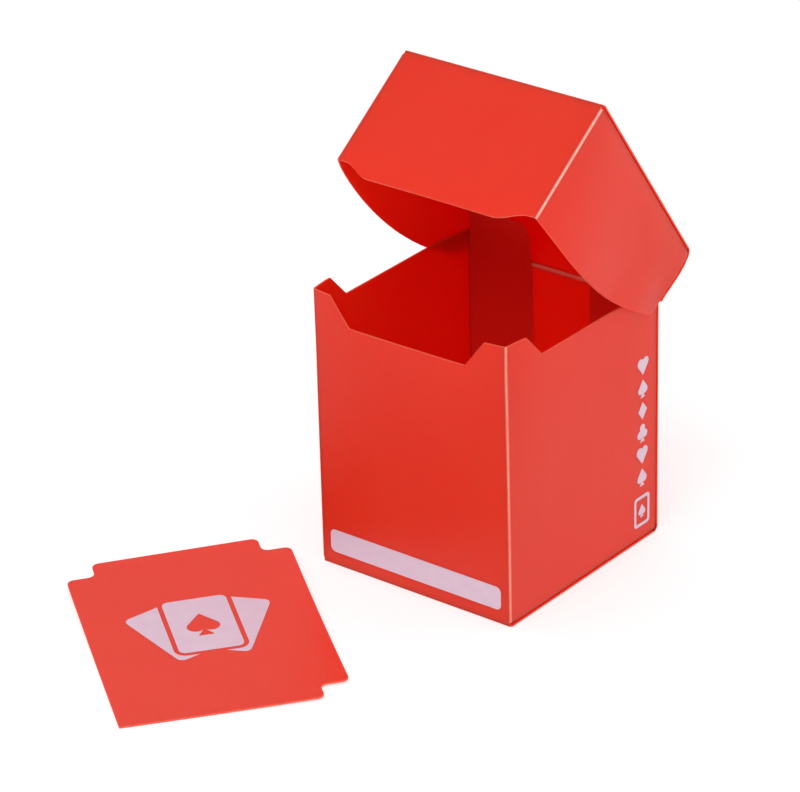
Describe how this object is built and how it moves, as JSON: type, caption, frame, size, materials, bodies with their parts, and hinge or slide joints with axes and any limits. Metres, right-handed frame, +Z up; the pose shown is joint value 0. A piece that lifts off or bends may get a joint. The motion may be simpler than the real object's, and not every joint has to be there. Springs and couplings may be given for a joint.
{
  "type": "card deck box",
  "caption": "Folded polypropylene flip-top box for a deck of sleeved trading cards, lid open on a living hinge, with its loose notched divider card.",
  "frame": {"origin": "centre of the box's underside, on the surface it stands on, midway between its side walls and between its front and back walls", "axes": "+X to the right along the front panel, +Y from the front panel to the back panel, +Z up"},
  "size_m": [0.1247, 0.2041, 0.1531],
  "materials": {
    "sheet": "satin orange-red polypropylene sheet",
    "whitened_crease": "stress-whitened crease in the same sheet",
    "divider_sheet": "satin orange-red polypropylene sheet",
    "ink": "pale pink-white screen-printed ink",
    "adhesive": "clear bonding film"
  },
  "bodies": {
    "box": {"bottom_panel": "sheet", "front_panel": "sheet", "back_panel": "sheet", "left_side_panel": "sheet", "right_side_panel": "sheet", "bottom_front_crease": "sheet", "bottom_rear_crease": "sheet", "front_left_crease": "whitened_crease", "front_right_crease": "whitened_crease", "rear_left_crease": "sheet", "rear_right_crease": "sheet", "bottom_left_crease": "sheet", "bottom_right_crease": "sheet", "left_back_flap": "sheet", "right_back_flap": "sheet", "left_bottom_flap": "sheet", "right_bottom_flap": "sheet", "back_adhesive": "adhesive", "bottom_adhesive": "adhesive", "label_field": "ink", "side_pips": "ink", "side_card_picture": "ink", "living_hinge": "whitened_crease"},
    "lid": {"lid_back_panel": "sheet", "lid_top_panel": "sheet", "lid_front_panel": "sheet", "lid_left_cheek": "sheet", "lid_right_cheek": "sheet", "lid_rear_crease": "sheet", "lid_front_crease": "sheet", "lid_left_crease": "whitened_crease", "lid_right_crease": "whitened_crease", "lid_left_flap_crease": "sheet", "lid_right_flap_crease": "sheet", "lid_left_top_flap": "sheet", "lid_right_top_flap": "sheet", "lid_adhesive": "adhesive"},
    "divider": {"divider_card": "divider_sheet", "divider_print": "ink"}
  },
  "joints": [
    {"name": "lid_hinge", "type": "hinge", "parent": "box", "child": "lid", "pos_m": [0, 0.0381, 0.0782], "axis": [-1, 0, 0], "range_deg": [-54.9, 115.1]},
    {"name": "divider_lift", "type": "slide", "parent": "box", "child": "divider", "axis": [0, 0, 1], "range_m": [0, 0.12]}
  ]
}
